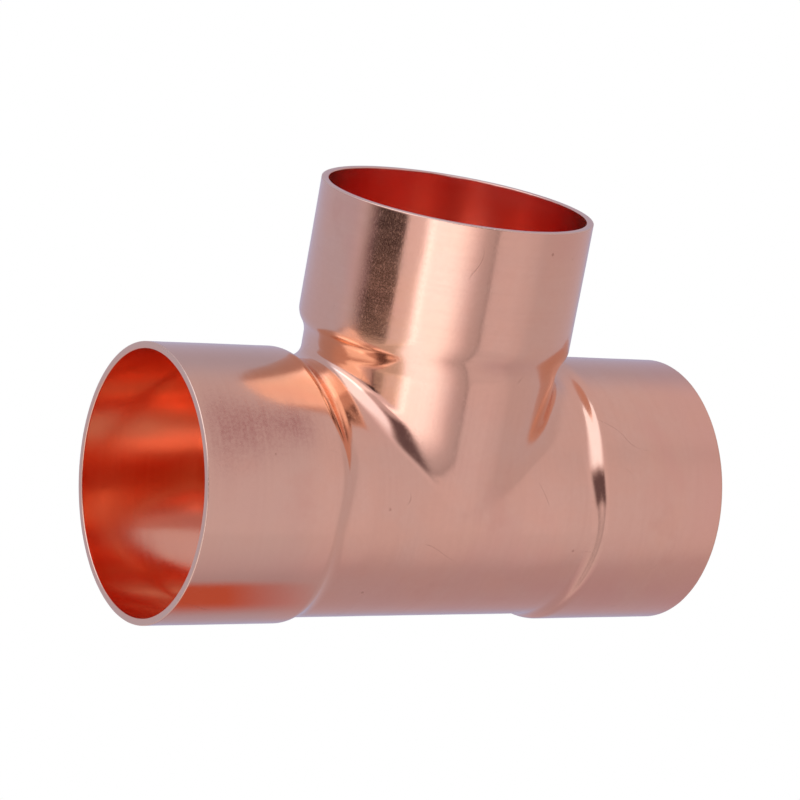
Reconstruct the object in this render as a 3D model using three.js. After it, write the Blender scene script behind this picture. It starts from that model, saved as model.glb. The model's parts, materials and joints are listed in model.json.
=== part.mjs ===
// Equal copper tee for soldered tube joints: one seamless piece of drawn tube with three plain
// sockets. The run lies along X and the branch rises along +Z. Each end is opened out to a cup that
// takes the tube, and a rounded shoulder leads from the cup down to the slimmer barrel, whose step
// is the stop the tube meets. The cheeks of the branch are its front and back, facing -Y and +Y;
// its crotches face the run cups.
// Millimetres, +Z up. The origin is on the ground under the branch axis.
import * as THREE from 'three';
import { ParametricGeometry } from 'three/addons/geometries/ParametricGeometry.js';
import { mergeGeometries, mergeVertices } from 'three/addons/utils/BufferGeometryUtils.js';

// --- driving dimensions ---------------------------------------------------------------------
const SOCKET_BORE = 54.15;    // inside diameter of each cup, for 54 mm tube
const WALL = 1.45;            // wall thickness, the same all over
const RUN_REACH = 62.5;       // branch axis to the face of either run cup
const BRANCH_REACH = 62.5;    // run axis to the face of the branch cup
const DEBURR = 0.2;           // broken edge inside and outside each face
const CUP_R = SOCKET_BORE / 2 + WALL;

// Run. "Up" is 1 on top of the barrel, 0 at its sides and -1 underneath.
const BARREL_R = 27.35;       // outside radius of the barrel, underneath
const BARREL_SINK = 0.85;     // how much lower it lies on top, where the branch was drawn out
const SINK_POWER = 2.5;       // more keeps the sink closer to the top
const SIDE_SWELL = 0.55;      // how much wider the barrel swells at its sides, next to the cups
const SWELL_WIDTH = 0.45;     // spread of the swell, in up
const SWELL_FROM = 10;        // distance along the run where the swell starts
const SWELL_SPAN = 16;        // length over which it comes in
const RUN_CUP = 28.8;         // straight length of a run cup at its sides
const CUP_SLANT = 1.0;        // that length is this much more underneath, and less on top
const CUP_PULL = 1.7;         // and this much more where the shoulder leans back
const PULL_UP = 0.45;         // middle of that lean, in up
const PULL_WIDTH = 0.33;      // its spread, in up
const RUN_CROWN = 4.2;        // outside radius where a run cup rolls over into its shoulder
const RUN_ROOT = 6.3;         // outside radius where that shoulder runs out on the barrel

// Branch. "Across" is 0 over the run and -1 or 1 on the cheeks.
const NECK_R = 26.65;         // outside radius of the neck, along the run
const NECK_OVAL = 0.25;       // the neck's radius is this much more across the run
const BRANCH_CUP = 27.5;      // straight length of the branch cup over the run
const BRANCH_CROWN = 4.2;     // outside radius where that cup rolls over into its shoulder
const BRANCH_ROOT = 5.8;      // outside radius where the shoulder runs out on the neck
const CHEEK_CUP = -3.5;       // on the cheeks the straight length changes by this,
const CHEEK_CROWN = 7.0;      // the crown is this much rounder,
const CHEEK_ROOT = 8.0;       // and so is the root
const CHEEK_FROM = 0.5;       // where the cheeks begin, in across
const CHEEK_SPAN = 0.45;      // and how far they take to come in

// Fillet between barrel and neck: its reach in the crotches, then what is added on the flanks and
// on the cheeks. From and span say where each addition starts and how long it takes, measured in
// Y away from the run axis.
const FILLET_UP = {           // up the neck
  crotch: 1.8, flank: 1.8, flankSpan: 16, cheek: 3.8, cheekFrom: 18, cheekSpan: 7.5,
};
const FILLET_OUT = {          // over the barrel
  crotch: 3.2, flank: 2.8, flankSpan: 14, cheek: -3.9, cheekFrom: 17.5, cheekSpan: 8,
};
const FILLET_POWER = 2.5;     // 2 is a rolling-ball fillet; more starts softer and turns tighter
const FILLET_CORE_R = 27.2;   // barrel radius used to find the angle between the two walls
const SINE_SOFTNESS = 0.02;   // keeps the fillet from pinching where the walls close up
const GROWTH_SOFTNESS = 0.01; // the same for its growth on the inner skin

// --- how finely the skins are laid out ------------------------------------------------------
const ROUND = 32;             // facets round a run cup
const UNDER = 6;              // facets along the underside line, between the two run cups
const AROUND = 2 * ROUND + 2 * UNDER;   // facets round the branch and its junction
const BARREL_ROWS = { outer: 12, inner: 10 };
const RUN_CUP_ROWS = { outer: 6, inner: 5 };
const BRANCH_CUP_ROWS = { outer: 7, inner: 6 };
const NECK_ROWS = { outer: 5, inner: 4 };
const EDGE_ROWS = 5;          // cells over a cup's face and broken edges, between the two skins

const SEAM_R = 27.1;          // barrel radius used to lay out the corner line of the two tubes
const CORNER = THREE.MathUtils.degToRad(78);   // share of the corner line facing each run cup
const BARREL_EASE = 1.2;      // how strongly barrel rows gather at the corner line
const NECK_EASE = 1.5;        // the same for neck rows, growing with the neck's length
const SHORT_NECK = 2.45;      // neck length up to which its rows are evenly spaced
const SNAP_STEPS = 1000;      // points are rounded to this many steps per millimetre

const { hypot, sin, cos, sqrt, abs, max, PI } = Math;

// --- blending curves ------------------------------------------------------------------------
function smooth(value) {
  const t = Math.min(max(value, 0), 1);
  return t * t * (3 - 2 * t);
}
const ramp = (value, from, span) => smooth((value - from) / span);
const bell = (value, width) => Math.exp(-((value / width) ** 2));
const softPositive = (value, softness) => 0.5 * (value + sqrt(value * value + softness * softness));
// Spaces 0 to 1 closer together near 0.
function ease(t, strength) {
  return strength < 1e-3 ? t : (Math.exp(strength * t) - 1) / (Math.exp(strength) - 1);
}

// --- outlines of the two tubes --------------------------------------------------------------
// Outline of a turned tube: core, shoulder with a root arc and a crown arc, straight cup. The
// bend is where the two arcs meet.
function tubeProfile(core, crownAt, crown, root) {
  const bendCos = 1 - (CUP_R - core) / (crown + root);
  const bendSin = sqrt(1 - bendCos * bendCos);
  const rootAt = crownAt - (crown + root) * bendSin;
  const bendAt = rootAt + root * bendSin;
  const bendR = core + root * (1 - bendCos);
  return { core, crownAt, crown, root, bendCos, bendSin, rootAt, bendAt, bendR };
}

function runProfile(up, along) {
  const sink = BARREL_SINK * max((1 + up) / 2, 0) ** SINK_POWER;
  const swell = SIDE_SWELL * bell(up, SWELL_WIDTH) * ramp(along, SWELL_FROM, SWELL_SPAN);
  const pull = CUP_PULL * bell(up - PULL_UP, PULL_WIDTH);
  const crownAt = RUN_REACH - RUN_CUP + CUP_SLANT * up - pull;
  return tubeProfile(BARREL_R - sink + swell, crownAt, RUN_CROWN, RUN_ROOT);
}

function branchProfile(across) {
  const cheek = ramp(abs(across), CHEEK_FROM, CHEEK_SPAN);
  return tubeProfile(
    NECK_R + NECK_OVAL * across * across,
    BRANCH_REACH - BRANCH_CUP - CHEEK_CUP * cheek,
    BRANCH_CROWN + CHEEK_CROWN * cheek,
    BRANCH_ROOT + CHEEK_ROOT * cheek,
  );
}

// Distance to an outline from a point along the axis and away from it. Positive outside.
function outlineDistance(along, away, profile) {
  const { core, crownAt, crown, root, bendCos, bendSin, rootAt, bendAt, bendR } = profile;
  if (along <= rootAt) return away - core;
  if (along >= crownAt) return away - CUP_R;
  if ((along - bendAt) * bendCos + (away - bendR) * bendSin < 0) {
    return root - hypot(along - rootAt, away - (core + root));
  }
  return hypot(along - crownAt, away - (CUP_R - crown)) - crown;
}

function radiusAt(along, { core, crownAt, crown, root, rootAt, bendAt }) {
  if (along <= rootAt) return core;
  if (along >= crownAt) return CUP_R;
  if (along < bendAt) return core + root - sqrt(root ** 2 - (along - rootAt) ** 2);
  return CUP_R - crown + sqrt(crown ** 2 - (along - crownAt) ** 2);
}

// --- the skin as a field --------------------------------------------------------------------
function filletReach(fillet, side) {
  return fillet.crotch + fillet.flank * ramp(side, 0, fillet.flankSpan)
    + fillet.cheek * ramp(side, fillet.cheekFrom, fillet.cheekSpan);
}

// Zero on the skin that lies `inset` inside the outer skin of the tee, positive outside it. Away
// from the junction it is the distance to the nearer of the two tubes. Along their corner the two
// distances are rounded together into a fillet. wallCos is the cosine of the angle between the two
// walls, which is square in the crotches and closes towards the cheeks.
function skin(x, y, z, inset) {
  const runAway = hypot(y, z);
  const toRun = outlineDistance(abs(x), runAway, runProfile(z / runAway, abs(x))) + inset;
  if (z <= 0) return toRun;
  const branchAway = hypot(x, y);
  const toBranch = outlineDistance(z, branchAway, branchProfile(y / branchAway)) + inset;

  const wallCos = y * y / ((FILLET_CORE_R - inset) * (NECK_R - inset));
  const wallSin = sqrt(softPositive(1 - wallCos * wallCos, SINE_SOFTNESS));
  const growth = inset * softPositive(1 - wallCos, GROWTH_SOFTNESS);
  const upReach = filletReach(FILLET_UP, abs(y)) * wallSin + growth;
  const outReach = filletReach(FILLET_OUT, abs(y)) * wallSin + growth;
  const nearRun = max(1 - toRun / upReach, 0);
  const nearBranch = max(1 - toBranch / outReach, 0);
  const both = nearRun + nearBranch;
  if (both <= 1e-12) return Math.min(toRun, toBranch);
  const reach = (upReach * nearRun + outReach * nearBranch) / both;
  const powers = nearRun ** FILLET_POWER + nearBranch ** FILLET_POWER;
  return reach * (1 - powers ** (1 / FILLET_POWER));
}

// Moves a point onto that skin, straight along the slope of the field.
function settle(point, inset) {
  const step = 1e-5;
  for (let i = 0; i < 40; i++) {
    const { x, y, z } = point;
    const level = skin(x, y, z, inset);
    if (abs(level) < 1e-9) break;
    const slopeX = (skin(x + step, y, z, inset) - skin(x - step, y, z, inset)) / (2 * step);
    const slopeY = (skin(x, y + step, z, inset) - skin(x, y - step, z, inset)) / (2 * step);
    const slopeZ = (skin(x, y, z + step, inset) - skin(x, y, z - step, inset)) / (2 * step);
    const steepness = slopeX * slopeX + slopeY * slopeY + slopeZ * slopeZ;
    point.x -= level * slopeX / steepness;
    point.y -= level * slopeY / steepness;
    point.z -= level * slopeZ / steepness;
  }
}

// These two lift a point straight out onto one tube's outline, then let it settle.
function settleOnRun(point, inset) {
  const along = abs(point.x);
  const away = hypot(point.y, point.z);
  const scale = (radiusAt(along, runProfile(point.z / away, along)) - inset) / away;
  point.y *= scale;
  point.z *= scale;
  settle(point, inset);
}
function settleOnBranch(point, inset) {
  const away = hypot(point.x, point.y);
  const scale = (radiusAt(point.z, branchProfile(point.y / away)) - inset) / away;
  point.x *= scale;
  point.y *= scale;
  settle(point, inset);
}

// Rounds a point, so that patches share exactly the same points where they meet.
function snap(point) {
  const round = (value) => Math.round(value * SNAP_STEPS) / SNAP_STEPS;
  point.set(round(point.x), round(point.y), round(point.z));
}

// --- layout of the skins --------------------------------------------------------------------
// Turn is the angle round the branch axis from +X; roll is the angle round the run from the top.
// Where the barrel patch meets a cup, along the run:
const border = (roll) => 27.9 + 0.9 * cos(roll);
// The height where the neck meets the shoulder:
const collar = (turn) => 28.8 + 0.8 * bell(sin(turn), 0.42);

// Turn at a share t of the way from the middle of a crotch to the end of its corner line.
function cornerTurn(t) {
  const pace = PI / CORNER;
  return CORNER * (pace * t / (1 + (pace - 1) * t));
}

// Columns are numbered round the junction from the +X side, anticlockwise seen from above. Each
// one starts on the corner line of the two tubes and ends on the border of the barrel patch: the
// +X cup, the underside line, the -X cup, and the underside line again.
function column(number) {
  const halfCount = AROUND / 2;
  const side = ROUND / 2;
  const halves = Math.floor(number / halfCount);
  const k = number - halves * halfCount;
  let turn, x, roll;
  if (k <= side) {
    const t = k / side;
    turn = cornerTurn(t);
    roll = PI * t;
    x = border(roll);
  } else if (k <= side + UNDER) {
    const t = (k - side) / UNDER;
    turn = CORNER + (PI - 2 * CORNER) * t;
    roll = PI;
    x = border(PI) * (1 - 2 * t);
  } else {
    const t = (halfCount - k) / side;
    turn = PI - cornerTurn(t);
    roll = PI * t;
    x = -border(roll);
  }
  // The second half is the first one turned half way round the branch axis.
  return halves % 2 ? { turn: turn + PI, x: -x, roll: -roll } : { turn, x, roll };
}

// A point of the corner line where the two bare tubes would meet.
function cornerPoint(turn, inset) {
  const core = SEAM_R - inset;
  const neck = NECK_R - inset;
  const y = neck * sin(turn);
  return new THREE.Vector3(neck * cos(turn), y, sqrt(core * core - y ** 2));
}

// Rows along a cup: out along the outer skin, over the face, and back along the inner one. Rows
// on a skin have an inset; rows on the face have a fixed distance away from the axis.
function cupRows({ crownAt, reach, from, counts }) {
  const skinRow = (inset, k, count) => ({ inset, along: from + (crownAt - from) * k / count });
  const rows = [];
  for (let k = 0; k <= counts.outer; k++) rows.push(skinRow(0, k, counts.outer));
  rows.push(
    { along: reach - DEBURR, away: CUP_R },
    { along: reach, away: CUP_R - DEBURR },
    { along: reach, away: CUP_R - WALL + DEBURR },
    { along: reach - DEBURR, away: CUP_R - WALL },
  );
  for (let k = counts.inner; k >= 0; k--) rows.push(skinRow(WALL, k, counts.inner));
  return rows;
}

// --- patches --------------------------------------------------------------------------------
// Barrel: from the corner line round the run to the cups and the underside.
function barrelPatch({ inset, rows, flip }) {
  return new ParametricGeometry((u, v, out) => {
    const { turn, x, roll } = column(AROUND * (flip ? 1 - u : u));
    const corner = cornerPoint(turn, inset);
    if (v > 0) {
      const t = ease(v, BARREL_EASE);
      const core = SEAM_R - inset;
      const startRoll = Math.atan2(corner.y, corner.z);
      const ownRoll = startRoll + (roll - startRoll) * t;
      out.set(corner.x + (x - corner.x) * t, core * sin(ownRoll), core * cos(ownRoll));
      settleOnRun(out, inset);
    } else {
      settle(out.copy(corner), inset);
    }
    snap(out);
  }, AROUND, rows);
}

// Run cup, on side +1 (+X) or -1 (-X).
function runCup(side) {
  const rowCount = RUN_CUP_ROWS.outer + RUN_CUP_ROWS.inner + EDGE_ROWS;
  return new ParametricGeometry((u, v, out) => {
    const roll = PI * (2 * (side > 0 ? 1 - u : u) - 1);
    const { crownAt } = runProfile(cos(roll), RUN_REACH - RUN_CUP);
    const rows = cupRows({ crownAt, reach: RUN_REACH, from: border(roll), counts: RUN_CUP_ROWS });
    const { inset, along, away = SEAM_R - inset } = rows[Math.round(v * rowCount)];
    out.set(side * along, away * sin(roll), away * cos(roll));
    if (inset !== undefined) settleOnRun(out, inset);
    snap(out);
  }, ROUND, rowCount);
}

// A point of the neck, at a share t of the way up from the corner line to the collar. Its turn
// shifts from the column's own to even spacing on the way.
function neckPoint({ ownTurn, evenTurn, t, inset, out }) {
  const turn = ownTurn + (evenTurn - ownTurn) * smooth(t);
  const corner = cornerPoint(turn, inset);
  if (t > 0) {
    const height = collar(turn) - corner.z;
    const strength = max(0, NECK_EASE * Math.log(height / SHORT_NECK));
    out.set(corner.x, corner.y, corner.z + height * ease(t, strength));
    settleOnBranch(out, inset);
  } else {
    settle(out.copy(corner), inset);
  }
}

// A point of the branch cup, on the given one of its rows.
function branchCupPoint(turn, row, out) {
  const { crownAt } = branchProfile(sin(turn));
  const rows = cupRows({
    crownAt, reach: BRANCH_REACH, from: collar(turn), counts: BRANCH_CUP_ROWS,
  });
  const { inset, along, away = NECK_R - inset } = rows[row];
  out.set(away * cos(turn), away * sin(turn), along);
  if (inset !== undefined) settleOnBranch(out, inset);
}

// Branch: up the neck from the corner line, along the cup, over the face and down inside.
function branchTube() {
  const rowCount = NECK_ROWS.outer + NECK_ROWS.inner
    + BRANCH_CUP_ROWS.outer + BRANCH_CUP_ROWS.inner + EDGE_ROWS;
  return new ParametricGeometry((u, v, out) => {
    const number = (AROUND * u) % AROUND;
    const ownTurn = column(number).turn;
    const evenTurn = 2 * PI * number / AROUND;
    const row = Math.round(v * rowCount);
    if (row < NECK_ROWS.outer) {
      neckPoint({ ownTurn, evenTurn, t: row / NECK_ROWS.outer, inset: 0, out });
    } else if (row > rowCount - NECK_ROWS.inner) {
      neckPoint({ ownTurn, evenTurn, t: (rowCount - row) / NECK_ROWS.inner, inset: WALL, out });
    } else {
      branchCupPoint(evenTurn, row - NECK_ROWS.outer, out);
    }
    snap(out);
  }, AROUND, rowCount);
}

// Splits every four-sided cell of a patch along the diagonal whose middle lies closer to the skin.
function splitCells(patch) {
  const { slices, stacks } = patch.parameters;
  const position = patch.getAttribute('position');
  const start = new THREE.Vector3();
  const end = new THREE.Vector3();
  const level = ({ x, y, z }) => skin(x, y, z, 0);
  const sag = (from, to) => {
    start.fromBufferAttribute(position, from);
    end.fromBufferAttribute(position, to);
    const mean = (level(start) + level(end)) / 2;
    return abs(level(start.add(end).multiplyScalar(0.5)) - mean);
  };
  const index = [];
  for (let i = 0; i < stacks; i++) {
    for (let j = 0; j < slices; j++) {
      const near = i * (slices + 1) + j;
      const nearNext = near + 1;
      const far = near + slices + 1;
      const farNext = far + 1;
      if (sag(near, farNext) + 1e-4 < sag(nearNext, far)) {
        index.push(near, nearNext, farNext, near, farNext, far);
      } else {
        index.push(near, nearNext, far, nearNext, farNext, far);
      }
    }
  }
  patch.setIndex(index);
}

// --- the one piece --------------------------------------------------------------------------
function teeShell() {
  const patches = [
    barrelPatch({ inset: 0, rows: BARREL_ROWS.outer, flip: true }),
    barrelPatch({ inset: WALL, rows: BARREL_ROWS.inner, flip: false }),
    runCup(1),
    runCup(-1),
    branchTube(),
  ];
  for (const patch of patches) {
    splitCells(patch);
    patch.deleteAttribute('normal');
    patch.deleteAttribute('uv');
  }
  const shell = mergeVertices(mergeGeometries(patches), 1e-4);
  shell.computeVertexNormals();
  return shell;
}

const copper = new THREE.MeshStandardMaterial({ color: 0xd9957d, metalness: 1, roughness: 0.36 });
const teeBody = new THREE.Mesh(teeShell(), copper);
teeBody.name = 'tee_body';
teeBody.position.set(0, 0, CUP_R);    // the cups rest on the ground

const tee = new THREE.Group();
tee.name = 'tee';
tee.add(teeBody);
export default tee;
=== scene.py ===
# Equal copper tee: the run lies along X, the branch rises along +Z from the middle of the run,
# and the run cups rest on z = 0. A fine skin, with cups, rolled shoulders, a filleted branch and
# cut faces, stands for the CAD body in the same place.
# The skin is worked out in millimetres from the crossing of the two axes; the scene is in metres.
import json
import math

import bpy
import bmesh
import numpy as np
from mathutils import Matrix, Vector, noise


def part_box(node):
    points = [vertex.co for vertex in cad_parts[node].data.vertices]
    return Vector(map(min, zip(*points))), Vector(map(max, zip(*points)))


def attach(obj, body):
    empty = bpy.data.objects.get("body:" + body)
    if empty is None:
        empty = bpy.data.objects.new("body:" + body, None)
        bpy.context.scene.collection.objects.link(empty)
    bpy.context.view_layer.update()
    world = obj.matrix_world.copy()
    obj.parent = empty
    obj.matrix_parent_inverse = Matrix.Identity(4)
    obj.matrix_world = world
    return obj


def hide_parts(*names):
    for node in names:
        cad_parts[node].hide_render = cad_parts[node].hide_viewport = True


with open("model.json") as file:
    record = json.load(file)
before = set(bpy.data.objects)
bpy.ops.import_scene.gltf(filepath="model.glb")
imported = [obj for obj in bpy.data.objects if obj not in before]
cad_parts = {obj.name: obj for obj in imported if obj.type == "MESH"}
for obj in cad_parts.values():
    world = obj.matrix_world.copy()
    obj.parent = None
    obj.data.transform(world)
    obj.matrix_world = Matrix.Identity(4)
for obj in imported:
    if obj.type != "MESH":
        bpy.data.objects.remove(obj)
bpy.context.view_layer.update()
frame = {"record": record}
TOP_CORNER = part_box("tee_body")[1]

# --- size, from the frame ---
CUP_R = TOP_CORNER.y * 1000                    # outside radius of every cup
RUN_REACH = TOP_CORNER.x * 1000                # axis crossing to a run face
AXIS_Z = CUP_R                                 # height of the run axis over the ground
BRANCH_REACH = TOP_CORNER.z * 1000 - AXIS_Z    # axis crossing to the branch face
MOUNTS = {mount["name"]: mount for mount in frame["record"]["mounts"]}
# the branch mount sits in the middle of the wall ring
WALL = 2 * (CUP_R - MOUNTS["branch_face"]["pos_m"][0] * 1000)

# --- shape: a shoulder rolls from the core (root radius) up to the cup (crown radius) ---
BARREL_R, BARREL_SINK = 27.35, 0.85            # run core, and how far its top is lowered
SINK_POWER = 2.5
NECK_R, SEAM_R = 26.65, 27.1                   # branch core; barrel radius where the neck meets it
MEET_R = 27.2                                  # barrel radius that gives the angle of the walls
RUN_CROWN_AT, RUN_CROWN, RUN_ROOT = RUN_REACH - 28.8, 4.2, 6.3
RUN_TILT = 1.0                                 # run shoulders stand further out on top
RUN_PULL = 1.7                                 # and lean back on the upper sides
SIDE_SWELL = 0.55                              # the barrel swells at the sides, near the shoulders
BRANCH_CROWN_AT, BRANCH_CROWN, BRANCH_ROOT = BRANCH_REACH - 27.5, 4.2, 5.8
CHEEK_EASE = (3.5, 7.0, 8.0)                   # added to those three on the front and back cheeks
NECK_OVAL = 0.25                               # extra neck radius across the run
FILLET_UP = (1.8, 1.8, 3.8)                    # up the neck: crotch, more on flanks, on cheeks
FILLET_OUT = (3.2, 2.8, 3.9)                   # over the barrel: crotch, more on flanks, less on cheeks
FILLET_POWER = 2.5                             # 2 is circular; more starts softer, turns tighter
LIP = 0.2                                      # radius of the broken edges of a cut face
LIP_STEPS = 4
WAVE = 0.03                                    # depth of the faint drawing waviness

# --- layout of the skin's rows and columns ---
ROUND, UNDER = 128, 32                         # facets round a cup, and along the underside line
AROUND = 2 * (ROUND + UNDER)                   # columns round the branch and its junction
CORNER = math.radians(78)                      # turn at which the border reaches the underside
BARREL_ROWS, BARREL_ROWS_IN = 46, 28
NECK_ROWS, NECK_ROWS_IN = 24, 16
CUP_ROWS, CUP_ROWS_IN = 18, 12                 # on the shoulder, and again on the straight wall
EVEN = 2 * np.pi * np.arange(AROUND) / AROUND
ROLL = 2 * np.pi * np.arange(ROUND) / ROUND - np.pi


def rise(value, start, width):
    """Smooth step from 0 at start to 1 at start + width."""
    t = np.clip((value - start) / width, 0, 1)
    return t * t * (3 - 2 * t)


def bell(value, centre, width):
    return np.exp(-((value - centre) / width) ** 2)


def soft_plus(value, blend):
    return 0.5 * (value + np.sqrt(value * value + blend * blend))


def shoulder(core, crown_at, crown, root):
    """Cosine and sine of the bend between the two arcs, and where root arc and bend lie."""
    cos = 1 - (CUP_R - core) / (crown + root)
    sin = np.sqrt(1 - cos ** 2)
    root_at = crown_at - (crown + root) * sin
    return cos, sin, root_at, root_at + root * sin


def outline(along, off, core, crown_at, crown, root):
    """Signed distance of (along the axis, off the axis) from a tube with a shoulder."""
    cos, sin, root_at, bend_at = shoulder(core, crown_at, crown, root)
    bend_r = core + root * (1 - cos)
    gap = np.where(along >= crown_at, off - CUP_R, off - core)
    middle = (along > root_at) & (along < crown_at)
    low = ((along - bend_at) * cos + (off - bend_r) * sin) < 0
    gap = np.where(middle & low, root - np.hypot(along - root_at, off - (core + root)), gap)
    crown_gap = np.hypot(along - crown_at, off - (CUP_R - crown)) - crown
    return np.where(middle & ~low, crown_gap, gap)


def radius_at(along, core, crown_at, crown, root):
    _, _, root_at, bend_at = shoulder(core, crown_at, crown, root)
    radius = np.where(along <= root_at, core, CUP_R)
    on_root = (along > root_at) & (along < bend_at)
    root_drop = np.sqrt(np.maximum(root ** 2 - (along - root_at) ** 2, 0))
    radius = np.where(on_root, core + root - root_drop, radius)
    on_crown = (along >= bend_at) & (along < crown_at)
    crown_lift = np.sqrt(np.maximum(crown ** 2 - (along - crown_at) ** 2, 0))
    return np.where(on_crown, CUP_R - crown + crown_lift, radius)


def run_profile(top, along):
    """Core, crown place, crown and root of the run; top is 1 on top and -1 underneath."""
    core = BARREL_R - BARREL_SINK * np.clip((1 + top) / 2, 0, 1) ** SINK_POWER
    core = core + SIDE_SWELL * bell(top, 0, 0.45) * rise(along, start=10, width=16)
    crown_at = RUN_CROWN_AT + RUN_TILT * top - RUN_PULL * bell(top, centre=0.45, width=0.33)
    return core, crown_at, RUN_CROWN, RUN_ROOT


def branch_profile(cheek):
    """The same for the branch; cheek is 1 at the back, -1 at the front, 0 over the run axis."""
    ease = rise(np.abs(cheek), start=0.5, width=0.45)
    return (NECK_R + NECK_OVAL * cheek * cheek, BRANCH_CROWN_AT + CHEEK_EASE[0] * ease,
            BRANCH_CROWN + CHEEK_EASE[1] * ease, BRANCH_ROOT + CHEEK_EASE[2] * ease)


def depth(points, inset=0.0):
    """Signed distance from the skin that lies inset under the outside; negative is deeper."""
    x, y, z = points[..., 0], points[..., 1], points[..., 2]
    off_run, off_branch = np.hypot(y, z), np.hypot(x, y)
    profile = run_profile(z / np.maximum(off_run, 1e-9), np.abs(x))
    run_gap = outline(np.abs(x), off_run, *profile) + inset
    profile = branch_profile(y / np.maximum(off_branch, 1e-9))
    branch_gap = outline(z, off_branch, *profile) + inset
    # fillet between the two, sized by the angle between the walls
    cosine = y * y / ((MEET_R - inset) * (NECK_R - inset))
    side = np.abs(y)
    sine = np.sqrt(soft_plus(1 - cosine * cosine, 0.02))
    grow = inset * soft_plus(1 - cosine, 0.01)
    up = (FILLET_UP[0] + FILLET_UP[1] * rise(side, start=0, width=16)
          + FILLET_UP[2] * rise(side, start=18, width=7.5))
    out = (FILLET_OUT[0] + FILLET_OUT[1] * rise(side, start=0, width=14)
           - FILLET_OUT[2] * rise(side, start=17.5, width=8))
    run_reach, branch_reach = up * sine + grow, out * sine + grow
    run_pull = np.maximum(1 - run_gap / run_reach, 0)
    branch_pull = np.maximum(1 - branch_gap / branch_reach, 0)
    both = run_pull + branch_pull
    size = (run_reach * run_pull + branch_reach * branch_pull) / np.maximum(both, 1e-12)
    bend = run_pull ** FILLET_POWER + branch_pull ** FILLET_POWER + 1e-30
    fillet = size * (1 - bend ** (1 / FILLET_POWER))
    joined = np.where(both > 1e-12, fillet, np.minimum(run_gap, branch_gap))
    return np.where(z <= 0, run_gap, joined)


def slope(points, inset, step=1e-5):
    gradient = np.empty_like(points)
    for i in range(3):
        shift = np.zeros(3)
        shift[i] = step
        change = depth(points + shift, inset) - depth(points - shift, inset)
        gradient[..., i] = change / (2 * step)
    return gradient


def settle(points, inset):
    """Newton steps that bring points on to the skin."""
    points = points.copy()
    for _ in range(25):
        gap = depth(points, inset)
        if np.abs(gap).max() < 1e-8:
            break
        grad = slope(points, inset)
        points -= (gap / np.maximum((grad * grad).sum(-1), 1e-12))[..., None] * grad
    return points


def onto_skin(points, inset, axis):
    """Move points square to the axis on to its tube, then settle them."""
    x, y, z = points[..., 0], points[..., 1], points[..., 2]
    if axis == "x":
        along, off = np.abs(x), np.hypot(y, z)
        profile = run_profile(z / off, along)
    else:
        along, off = np.abs(z), np.hypot(x, y)
        profile = branch_profile(y / off)
    scale = (radius_at(along, *profile) - inset) / off
    same = np.ones_like(scale)
    scales = [same, scale, scale] if axis == "x" else [scale, scale, same]
    return settle(points * np.stack(scales, -1), inset)


def border(roll):
    """Distance along the run at which a run cup's own grid starts."""
    return 27.9 + 0.9 * np.cos(roll)


def collar(turn):
    """Height at which the branch cup's rows start."""
    return 28.8 + 0.8 * bell(np.sin(turn), 0, 0.42)


def ease_in(t, growth):
    """0 to 1, with steps that grow along the way."""
    growth = np.maximum(np.asarray(growth, float), 1e-3)
    return (np.exp(growth * t) - 1) / (np.exp(growth) - 1)


def columns():
    """Per column: turn round the branch, and x and roll where it meets the barrel's border."""
    half_round = ROUND // 2
    down = np.arange(half_round + 1) / half_round     # down the +X border
    under = np.arange(1, UNDER + 1) / UNDER           # along the underside
    up = np.arange(half_round - 1, 0, -1) / half_round  # up the -X border
    gain = np.pi / CORNER

    def spread(t):
        return gain * t / (1 + (gain - 1) * t)

    turn = np.concatenate([CORNER * spread(down), CORNER + (np.pi - 2 * CORNER) * under,
                           np.pi - CORNER * spread(up)])
    x = np.concatenate([border(np.pi * down), border(np.pi) * (1 - 2 * under),
                        -border(np.pi * up)])
    roll = np.concatenate([np.pi * down, np.full(UNDER, np.pi), np.pi * up])
    # the other half is the same, turned half round the branch
    return (np.concatenate([turn, turn + np.pi]), np.concatenate([x, -x]),
            np.concatenate([roll, -roll]))


TURN, BORDER_X, BORDER_ROLL = columns()


def seam(turn, inset):
    """Where the plain neck and barrel cylinders cross."""
    neck = NECK_R - inset
    across = neck * np.sin(turn)
    return neck * np.cos(turn), across, np.sqrt((SEAM_R - inset) ** 2 - across ** 2)


def barrel_patch(inset, rows):
    seam_x, seam_y, seam_z = seam(TURN, inset)
    seam_roll = np.arctan2(seam_y, seam_z)
    core = SEAM_R - inset
    t = ease_in(np.arange(rows + 1) / rows, 1.2)[:, None]
    x = seam_x + (BORDER_X - seam_x) * t
    roll = seam_roll + (BORDER_ROLL - seam_roll) * t
    grid = onto_skin(np.stack([x, core * np.sin(roll), core * np.cos(roll)], -1), inset, "x")
    grid[0] = settle(np.stack([seam_x, seam_y, seam_z], -1), inset)
    return grid


def neck_patch(inset, rows):
    t = (np.arange(rows + 1) / rows)[:, None]
    turn = TURN + (EVEN - TURN) * rise(t, start=0, width=1)
    seam_z = seam(turn, inset)[2]
    reach = collar(turn) - seam_z
    neck = NECK_R - inset
    z = seam_z + reach * ease_in(t, np.maximum(0, 1.5 * np.log(reach / 2.45)))
    grid = onto_skin(np.stack([neck * np.cos(turn), neck * np.sin(turn), z], -1), inset, "z")
    grid[0] = settle(np.stack(seam(TURN, inset), -1), inset)
    return grid


def cup_rows(reach, crown_at, start, rows):
    """Places along the axis from the patch border to the lip."""
    rolled = start + (crown_at - start) * (np.arange(rows) / rows)[:, None]
    near = reach - LIP - 0.35                  # a row close to the lip keeps the wall straight
    straight = crown_at + (near - crown_at) * (np.arange(rows) / (rows - 1))[:, None]
    return np.concatenate([rolled, straight, np.full_like(straight[:1], reach - LIP)], 0)


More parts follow.
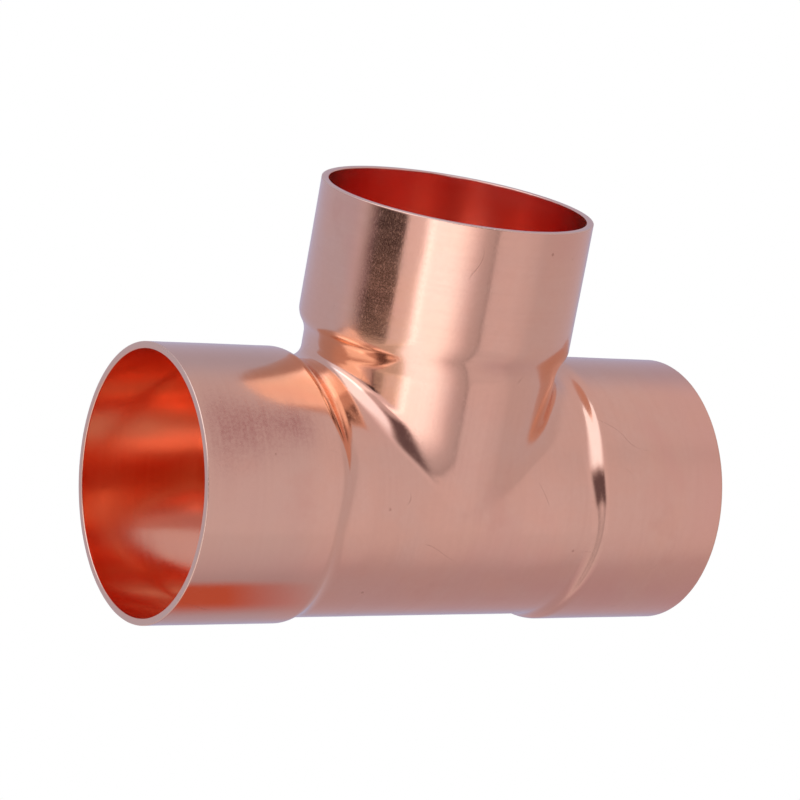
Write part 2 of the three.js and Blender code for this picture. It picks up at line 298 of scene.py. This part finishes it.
def lip_rows(angle, seed):
    """(past the face, radius) of each row over a cut face; the breaks vary round the ring."""
    def wobble(layer, busy):
        return np.array([noise.noise(Vector((math.cos(a) * busy + seed, math.sin(a) * busy, layer)))
                         for a in angle])

    outer = LIP * (1 + 0.22 * wobble(1.0, 6) + 0.12 * wobble(2.0, 14))
    inner = LIP * (1 + 0.22 * wobble(3.0, 7) + 0.14 * wobble(4.0, 14))
    bore = CUP_R - WALL
    rows = []
    for k in range(1, LIP_STEPS + 1):          # outer broken edge
        q = math.pi / 2 * k / LIP_STEPS
        rows.append((-outer + outer * math.sin(q), CUP_R - outer + outer * math.cos(q)))
    for t in (0.25, 0.5, 0.75):                # flat ring
        rows.append((0.012 * wobble(5.0, 15) * math.sin(math.pi * t),
                     (CUP_R - outer) * (1 - t) + (bore + inner) * t))
    for k in range(LIP_STEPS):                 # inner broken edge
        q = math.pi / 2 * k / LIP_STEPS
        rows.append((-inner + inner * math.cos(q), bore + inner - inner * math.sin(q)))
    return rows


def tube(axis, side, angle, start, crown_at, reach, seed):
    """A cup with both skins and its cut face; angle runs round the axis, side is its sign."""
    def place(along, radius):
        sin, cos = radius * np.sin(angle), radius * np.cos(angle)
        parts = (side * along, sin, cos) if axis == "x" else (cos, sin, along)
        return np.stack(np.broadcast_arrays(*parts), -1)

    def skin_rows(rows, rough_r, inset):
        return onto_skin(place(cup_rows(reach, crown_at, start, rows), rough_r), inset, axis)

    outside = skin_rows(CUP_ROWS, rough_r=27.0, inset=0)
    lips = [place(reach + past, radius)[None] for past, radius in lip_rows(angle, seed)]
    inside = skin_rows(CUP_ROWS_IN, rough_r=26.0, inset=WALL)[::-1]
    return np.concatenate([outside] + lips + [inside], 0)


def skin_grids():
    """Grids of points, each with whether its faces must be flipped to look outwards."""
    cup = tube("z", 1, EVEN, collar(EVEN), branch_profile(np.sin(EVEN))[1], BRANCH_REACH, seed=3.0)
    branch = [neck_patch(0, NECK_ROWS)[:-1], cup, neck_patch(WALL, NECK_ROWS_IN)[::-1][1:]]
    grids = [(barrel_patch(0, BARREL_ROWS), True), (barrel_patch(WALL, BARREL_ROWS_IN), False),
             (np.concatenate(branch, 0), False)]
    crown_at = run_profile(np.cos(ROLL), RUN_CROWN_AT)[1]
    for side, seed in ((1, 11.0), (-1, 23.0)):
        grids.append((tube("x", side, ROLL, border(ROLL), crown_at, RUN_REACH, seed), side > 0))
    return grids


def join_grids(grids):
    verts, faces = [], []
    base = 0
    for grid, flip in grids:
        rows, cols = grid.shape[:2]
        verts.append(grid.reshape(-1, 3))
        i = np.arange(rows - 1)[:, None] * cols + base
        j = np.arange(cols)[None, :]
        j_next = (j + 1) % cols
        quads = np.stack([i + j, i + j_next, i + cols + j_next, i + cols + j], -1).reshape(-1, 4)
        faces.append(quads[:, ::-1] if flip else quads)
        base += rows * cols
    return np.concatenate(verts), np.concatenate(faces)


def read_vertices(mesh, what):
    values = np.empty(len(mesh.vertices) * 3, np.float32)
    mesh.vertices.foreach_get(what, values)
    return values.reshape(-1, 3)


def from_crossing(coords):
    """Scene metres to millimetres from the axis crossing."""
    return coords.astype(float) * 1000 - [0, 0, AXIS_Z]


def face_distance(points):
    """Distance from the nearest cut face."""
    return np.minimum(RUN_REACH - np.abs(points[:, 0]), BRANCH_REACH - points[:, 2])


def add_waviness(mesh):
    """Faint broad and fine waves that fade out before the cut faces."""
    coords, normals = read_vertices(mesh, "co"), read_vertices(mesh, "normal")
    points = from_crossing(coords)
    wave = np.array([noise.noise(Vector((x / 9, y / 11 + 5, z / 10)))
                     + 0.35 * noise.noise(Vector((x / 3.6, y / 5 + 9, z / 4.4)))
                     for x, y, z in points])
    calm = rise(face_distance(points), start=0.6, width=3)
    coords = coords + normals * (wave * calm * WAVE / 1000)[:, None]
    mesh.vertices.foreach_set("co", coords.astype(np.float32).ravel())
    mesh.update()


def add_attributes(mesh):
    """Fields for the copper material."""
    points = from_crossing(read_vertices(mesh, "co"))
    x, y, z = points.T
    roll = np.degrees(np.arctan2(-y, z))       # round the run, 0 on top, 90 at the front
    # a darker blotchy patch lies on the upper front of the left cup and widens towards its mouth
    toward_mouth = np.clip((-x - 42) / 18, 0, 1)
    dark_patch = (bell(np.maximum(np.abs(x + 49.5) - 8, 0), 0, 4.5)
             * bell(roll, centre=47 + 3 * toward_mouth, width=9 + 8 * toward_mouth))
    fields = {
        "inside": rise(-depth(points), start=0.35 * WALL, width=0.3 * WALL),
        "end_mm": face_distance(points),
        "branch": rise(z, start=27, width=3) * (np.hypot(x, y) < 30),
        "dark_patch": dark_patch,
    }
    for name, values in fields.items():
        attribute = mesh.attributes.new(name, "FLOAT", "POINT")
        attribute.data.foreach_set("value", values.astype(np.float32))


def build_skin():
    verts, faces = join_grids(skin_grids())
    mesh = bpy.data.meshes.new("tee_skin")
    mesh.from_pydata((verts / 1000 + [0, 0, AXIS_Z / 1000]).tolist(), [], faces.tolist())
    bm = bmesh.new()
    bm.from_mesh(mesh)
    bmesh.ops.remove_doubles(bm, verts=bm.verts, dist=1e-6)
    bm.to_mesh(mesh)
    bm.free()
    add_waviness(mesh)
    mesh.shade_smooth()
    skin = bpy.data.objects.new("tee_skin", mesh)
    bpy.context.scene.collection.objects.link(skin)
    add_attributes(mesh)
    return skin


# --- node helpers: each adds a node to the open tree and returns its output ---
tree = None


def open_tree(owner):
    """Make the node tree of a material or world the one the helpers add to."""
    global tree
    owner.use_nodes = True
    tree = owner.node_tree


def new(kind):
    return tree.nodes.new(kind)


def put(socket, value):
    """Link a socket to an output, or set its value; None leaves it alone."""
    if isinstance(value, bpy.types.NodeSocket):
        tree.links.new(value, socket)
    elif value is not None:
        if socket.type == "RGBA" and len(value) == 3:
            value = (*value, 1)
        socket.default_value = value


def calc(operation, *values):
    node = new("ShaderNodeMath")
    node.operation = operation
    for socket, value in zip(node.inputs, values):
        put(socket, value)
    return node.outputs[0]


def add(a, b):
    return calc("ADD", a, b)


def sub(a, b):
    return calc("SUBTRACT", a, b)


def mul(a, by):
    return calc("MULTIPLY", a, by)


def mul_add(a, by, plus):
    return calc("MULTIPLY_ADD", a, by, plus)


def ramp(value, over, to=(0.0, 1.0), kind="SMOOTHSTEP"):
    node = new("ShaderNodeMapRange")
    node.interpolation_type = kind
    for socket, setting in zip(node.inputs, (value, *over, *to)):
        put(socket, setting)
    return node.outputs[0]


def mix(factor, a, b):
    node = new("ShaderNodeMix")
    node.data_type = "RGBA"
    put(node.inputs["Factor"], factor)
    put(node.inputs[6], a)
    put(node.inputs[7], b)
    return node.outputs[2]


def cloud_noise(vector, scale, detail, rough, distort=0.0):
    node = new("ShaderNodeTexNoise")
    put(node.inputs["Vector"], vector)
    node.inputs["Scale"].default_value = scale
    node.inputs["Detail"].default_value = detail
    node.inputs["Roughness"].default_value = rough
    node.inputs["Distortion"].default_value = distort
    return node.outputs["Fac"]


def attr(name):
    node = new("ShaderNodeAttribute")
    node.attribute_name = name
    return node.outputs["Fac"]


def mapped(vector, scale=(1, 1, 1), loc=(0, 0, 0)):
    node = new("ShaderNodeMapping")
    put(node.inputs["Vector"], vector)
    node.inputs["Scale"].default_value = scale
    node.inputs["Location"].default_value = loc
    return node.outputs[0]


def split(vector):
    node = new("ShaderNodeSeparateXYZ")
    put(node.inputs[0], vector)
    return tuple(node.outputs)


# --- copper ---
def outer_colour(pos, draw, mottle, fine):
    """Clean pink copper with faint tarnish; also returns the strength of the darker patch on the left
    cup.
    """
    cloud = cloud_noise(pos, scale=38, detail=3, rough=0.55, distort=0.3)
    col = mix(ramp(mottle, over=(0.35, 0.65)), (0.90, 0.530, 0.352), (0.885, 0.546, 0.372))
    col = mix(ramp(cloud, over=(0.50, 0.72), to=(0, 0.6)), col, (0.865, 0.475, 0.335))
    col = mix(ramp(fine, over=(0.3, 0.7), to=(0, 0.25)), col, (0.85, 0.496, 0.329))
    col = mix(ramp(draw, over=(0.35, 0.75), to=(0, 0.14)), col, (0.80, 0.450, 0.300))
    # the left cup is a little dulled all over
    left = ramp(split(pos)[0], over=(-0.034, -0.043), to=(0, 0.55))
    col = mix(left, col, (0.78, 0.512, 0.360))
    # the right cup is a little warmer towards its mouth
    right = mul(ramp(split(pos)[0], over=(0.046, 0.062), to=(0, 0.45)),
                ramp(mottle, over=(0.3, 0.6), to=(0.4, 1)))
    col = mix(right, col, (0.90, 0.470, 0.335))
    # the darker patch on the left cup is blotchy, gritty and streaked
    grit = cloud_noise(mapped(pos, loc=(1, 4, 2)), scale=1500, detail=2, rough=0.6)
    streaks = ramp(draw, over=(0.3, 0.7), to=(0.28, 0.58))
    gritty = mul_add(ramp(grit, over=(0.38, 0.66)), by=0.34, plus=streaks)
    blotchy = mul_add(ramp(mottle, over=(0.35, 0.65)), by=0.30, plus=gritty)
    dark_patch_strength = mul(attr("dark_patch"), blotchy)
    col = mix(dark_patch_strength, col, (0.61, 0.305, 0.222))
    # loose darker patches
    loose = cloud_noise(mapped(pos, loc=(3, 1, 2)), scale=55, detail=4, rough=0.6)
    loose = mul(ramp(loose, over=(0.60, 0.76)), by=0.30)
    return mix(loose, col, (0.78, 0.400, 0.270)), dark_patch_strength


def small_marks(pos, end, inside):
    """Sparse specks and hair scratches, fewer inside and none on the cut faces."""
    cell = new("ShaderNodeTexVoronoi")
    cell.inputs["Scale"].default_value = 150
    put(cell.inputs["Vector"], pos)
    pick, size, _ = split(cell.outputs["Color"])
    dot = ramp(cell.outputs["Distance"], over=(mul_add(size, by=0.05, plus=0.035), 0.02))
    speck = mul(ramp(pick, over=(0.76, 0.80)), dot)
    bend = cloud_noise(mapped(pos, scale=(0.5, 1, 0.9)), scale=60, detail=1, rough=0.4)
    patches = cloud_noise(mapped(pos, loc=(7, 0, 4)), scale=80, detail=2, rough=0.5)
    hair = mul(ramp(calc("ABSOLUTE", sub(bend, 0.5)), over=(0.0024, 0.0008)),
               ramp(patches, over=(0.58, 0.64)))
    where = mul(ramp(end, over=(0.25, 0.6)), mul_add(inside, by=-0.6, plus=1))
    return mul(calc("MAXIMUM", mul(speck, by=0.8), mul(hair, by=0.55)), where)


def copper_material():
    material = bpy.data.materials.new("drawn_copper")
    open_tree(material)
    bsdf = tree.nodes["Principled BSDF"]
    pos = new("ShaderNodeTexCoord").outputs["Object"]
    inside, end, branch = attr("inside"), attr("end_mm"), attr("branch")
    # draw lines run round each tube: noise squeezed along the axis of the run, or of the branch
    run_lines = cloud_noise(mapped(pos, scale=(900, 45, 45)), scale=1, detail=3, rough=0.6)
    branch_lines = cloud_noise(mapped(pos, scale=(45, 45, 900)), scale=1, detail=3, rough=0.6)
    draw = mul_add(branch, by=sub(branch_lines, run_lines), plus=run_lines)
    mottle = cloud_noise(pos, scale=90, detail=3, rough=0.55)
    fine = cloud_noise(pos, scale=900, detail=3, rough=0.6)
    outer, dark_patch_strength = outer_colour(pos, draw, mottle, fine)
    # redder inside, paler on the cut faces
    inner = mix(branch, (0.93, 0.458, 0.285), (0.93, 0.455, 0.365))
    inner = mix(ramp(mottle, over=(0.35, 0.65), to=(0, 0.35)), inner, (0.90, 0.480, 0.330))
    col = mix(inside, outer, inner)
    cut = ramp(end, over=(0.30, 0.10))
    col = mix(mul(cut, by=0.70), col, (0.86, 0.605, 0.435))
    mark = small_marks(pos, end, inside)
    col = mix(mul(mark, by=0.7), col, (0.42, 0.200, 0.130))
    put(bsdf.inputs["Base Color"], col)
    put(bsdf.inputs["Metallic"], 1.0)
    # roughness: satin grain outside, then the bore, draw lines, the darker patch on the left cup,
    # specks and scratches and cut faces on top
    grain = cloud_noise(pos, scale=2600, detail=2, rough=0.6)
    satin = cloud_noise(mapped(pos, scale=(1, 1, 0.45)), scale=3600, detail=2.5, rough=0.6)
    satin = mul(ramp(satin, over=(0.50, 0.74)), mul_add(inside, by=-0.85, plus=1))
    rough = mul_add(satin, by=0.11, plus=ramp(mottle, over=(0.3, 0.7), to=(0.115, 0.15)))
    rough = mul_add(inside, by=0.03, plus=rough)
    rough = add(rough, mul(sub(draw, 0.5), by=0.08))
    rough = add(mul_add(dark_patch_strength, by=0.10, plus=mul(mark, by=0.2)), rough)
    put(bsdf.inputs["Roughness"], mul_add(cut, by=0.16, plus=rough))
    bump = new("ShaderNodeBump")
    bump.inputs["Strength"].default_value = 0.12
    bump.inputs["Distance"].default_value = 0.00004
    high = mul_add(draw, by=0.45, plus=add(mul(grain, by=0.6), fine))
    put(bump.inputs["Height"], sub(high, mul(mark, by=1.6)))
    put(bsdf.inputs["Normal"], bump.outputs[0])
    return material


skin = build_skin()
skin.data.materials.append(copper_material())
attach(skin, "root")
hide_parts("tee_body")


# --- floor ---
def emission(colour):
    node = new("ShaderNodeEmission")
    put(node.inputs[0], colour)
    return node.outputs[0]


def sheet(name, x_span, y_span, height, material_name):
    """A flat glowing sheet with an empty material, whose tree is left open."""
    (x0, x1), (y0, y1) = x_span, y_span
    mesh = bpy.data.meshes.new(name)
    mesh.from_pydata([(x0, y0, 0), (x1, y0, 0), (x1, y1, 0), (x0, y1, 0)], [], [(0, 1, 2, 3)])
    plane = bpy.data.objects.new(name, mesh)
    bpy.context.scene.collection.objects.link(plane)
    plane.location.z = height
    plane.visible_diffuse = False
    plane.visible_shadow = False
    material = bpy.data.materials.new(material_name)
    mesh.materials.append(material)
    open_tree(material)
    tree.nodes.clear()
    return plane


floor = sheet("floor", (-8, 8), (-8, 8), height=-0.0002, material_name="pale_floor")
put(new("ShaderNodeOutputMaterial").inputs[0], emission((1, 1, 1)))
floor.visible_glossy = False

# glowing patch under the front of the left cup, seen only in reflections: painted warm bounce light
# that stands in for the floor in the cup's shade, lit by light off the copper
bounce_glow = sheet("painted_bounce_light", (-0.066, -0.020), (-0.036, -0.014), height=-0.0001,
             material_name="painted_bounce_light")
patch_x, patch_y, _ = split(new("ShaderNodeTexCoord").outputs["Object"])
patch = mul(mul(ramp(patch_x, over=(-0.0225, -0.045), kind="LINEAR"),
                ramp(patch_x, over=(-0.0655, -0.056))),
            mul(ramp(patch_y, over=(-0.0342, -0.0295)), ramp(patch_y, over=(-0.0145, -0.0220))))
blend = new("ShaderNodeMixShader")
put(blend.inputs[0], patch)
put(blend.inputs[1], new("ShaderNodeBsdfTransparent").outputs[0])
# orange glow of the painted bounce light
put(blend.inputs[2], emission((0.53, 0.115, 0.072)))
put(new("ShaderNodeOutputMaterial").inputs[0], blend.outputs[0])
bounce_glow.visible_camera = False

# --- studio world: panels that brighten or darken an even room, all angles in degrees ---
DEGREES = 57.29578
AMBIENT = 0.62
ROOM_TINT = (1.0, 0.896, 1.094)
world = bpy.data.worlds.new("studio")
open_tree(world)
bpy.context.scene.world = world
background = tree.nodes["Background"]
ray_x, ray_y, ray_z = split(new("ShaderNodeTexCoord").outputs["Generated"])
elevation = mul(calc("ARCSINE", ray_z), DEGREES)


def band(value, span, fades):
    """1 within span, fading to 0 over the given widths below and above it."""
    (lo, hi), (below, above) = span, fades
    return mul(ramp(value, over=(lo - below, lo)), ramp(value, over=(hi + above, hi)))


def azimuth(centre):
    """Degrees past centre, anticlockwise seen from above, in -180..180; 0 is +X."""
    a = math.radians(centre)
    ahead = add(mul(ray_x, math.cos(a)), mul(ray_y, math.sin(a)))
    beside = sub(mul(ray_y, math.cos(a)), mul(ray_x, math.sin(a)))
    return mul(calc("ARCTAN2", beside, ahead), DEGREES)


def panel(centre, turns, turn_fades, heights, height_fades):
    return mul(band(azimuth(centre), turns, turn_fades), band(elevation, heights, height_fades))


def scaled(value, mask, gain):
    """Value times gain where mask is 1."""
    return mul(value, mul_add(mask, by=gain - 1, plus=1.0))


# Columns: centre azimuth, azimuths from the centre, their fades, elevations, their fades
TALL_BOX = [                                   # front left; fades wider below the table line
    (-133, (-5, 12), (8.5, 30), (-14.5, 2), (3, 8)),
    (-133, (-5, 12), (13, 30), (-75, -14.5), (10, 3)),
]
TALL_GAIN = 2.25
SIDE_PANEL = (-133, (-27, -6), (3, 4), (-18, 6), (3, 8))
OVERHEAD = (-135, (-75, 30), (20, 42), (42, 95), (12, 1))
OTHER_PANELS = [                               # each with its gain
    ((-180, (-30, 20), (15, 10), (14, 40), (10, 12)), 1.85),     # overhead's low end, far left
    ((-84, (-2, 0), (18, 1.0), (-60, 0), (20, 10)), 0.80),       # grey gap beside the tall box
    ((-84, (-1.5, 0), (1.5, 1.0), (-60, 0), (20, 10)), 0.72),    # crisp edge that ends the gap
    ((0, (-36, 42), (14, 30), (-80, 28), (5, 20)), 0.88),        # darker right of the room
    ((-84, (0.5, 22), (0.5, 12), (-18, 30), (3, 20)), 1.07),     # pale panel past the gap
    ((180, (-4, 18), (22, 3), (-12.7, -6), (0.8, 5)), 0.056),    # dark table flag, far left
    ((-104, (-16, 16), (12, 16), (6, 24), (8, 14)), 0.21),       # dark of the camera side
]
level = add(AMBIENT, 0.0)
level = scaled(level, calc("MAXIMUM", *(panel(*row) for row in TALL_BOX)), TALL_GAIN)
level = scaled(level, panel(*SIDE_PANEL), gain=1.3)
overhead = panel(*OVERHEAD)
level = scaled(level, overhead, gain=2.2)
for row, gain in OTHER_PANELS:
    level = scaled(level, panel(*row), gain)

back = panel(95, (-40, 50), (35, 25), (-30, 40), (20, 30))
table_edge = panel(-160, (-24, 13), (8, 6), (-60, -12.9), (10, 0.9))
low_right = mul(ramp(elevation, over=(-18, -60)), band(azimuth(12), (-60, 60), (30, 30)))
TINTS = [                                      # mask, red, green and blue gains
    (back, (0.80, 0.90, 1.02)),                # cooler and greyer
    (table_edge, (0.95, 0.85, 0.67)),          # warm grey under the flag
    (low_right, (0.84, 0.78, 0.82)),           # falls off towards the floor
    (ramp(level, over=(0.75, 1.3)), (1.0, 1.11, 1.09)),     # soft boxes are whiter
    (overhead, (0.90, 1.0, 1.07)),
    (ramp(level, over=(0.40, 0.12)), (1.0, 0.82, 0.86)),    # the dark parts
]
colour = new("ShaderNodeCombineColor")
for k in range(3):
    channel = mul(level, ROOM_TINT[k])
    for mask, tint in TINTS:
        channel = scaled(channel, mask, tint[k])
    put(colour.inputs[k], channel)
camera_ray = new("ShaderNodeLightPath").outputs["Is Camera Ray"]
put(background.inputs[0], mix(camera_ray, colour.outputs[0], (1, 1, 1)))
background.inputs[1].default_value = 1.0

# --- camera ---
CAMERA_AT = (-11.666, -17.705, 5.836)          # cup radii from the axis crossing
CAMERA_TURNS = (0.1807, 0.2405, -0.5755)       # radians about Z, X, then Y
camera_data = bpy.data.cameras.new("camera")
camera = bpy.data.objects.new("camera", camera_data)
bpy.context.scene.collection.objects.link(camera)
camera_data.lens, camera_data.sensor_width = 133.44, 36.0
camera_data.clip_start, camera_data.clip_end = 0.01, 40

cos_z, cos_x, cos_y = (math.cos(a) for a in CAMERA_TURNS)
sin_z, sin_x, sin_y = (math.sin(a) for a in CAMERA_TURNS)
about_z = np.array([[cos_z, -sin_z, 0], [sin_z, cos_z, 0], [0, 0, 1]])
about_x = np.array([[1, 0, 0], [0, cos_x, -sin_x], [0, sin_x, cos_x]])
about_y = np.array([[cos_y, 0, sin_y], [0, 1, 0], [-sin_y, 0, cos_y]])
level_view = np.array([[1, 0, 0], [0, 0, -1], [0, 1, 0]])
right, down, forward = about_z @ about_x @ about_y @ level_view
place = Vector([k * (CUP_R / 1000) for k in CAMERA_AT]) + Vector((0, 0, AXIS_Z / 1000))
rotation = Matrix(np.stack([right, -down, -forward], 1).tolist())
camera.matrix_world = Matrix.Translation(place) @ rotation.to_4x4()
bpy.context.scene.camera = camera

view = bpy.context.scene.view_settings
view.view_transform, view.look = "Standard", "None"
view.exposure, view.gamma = 0, 1
bpy.context.scene.cycles.max_bounces = 16
bpy.context.scene.cycles.glossy_bounces = 12
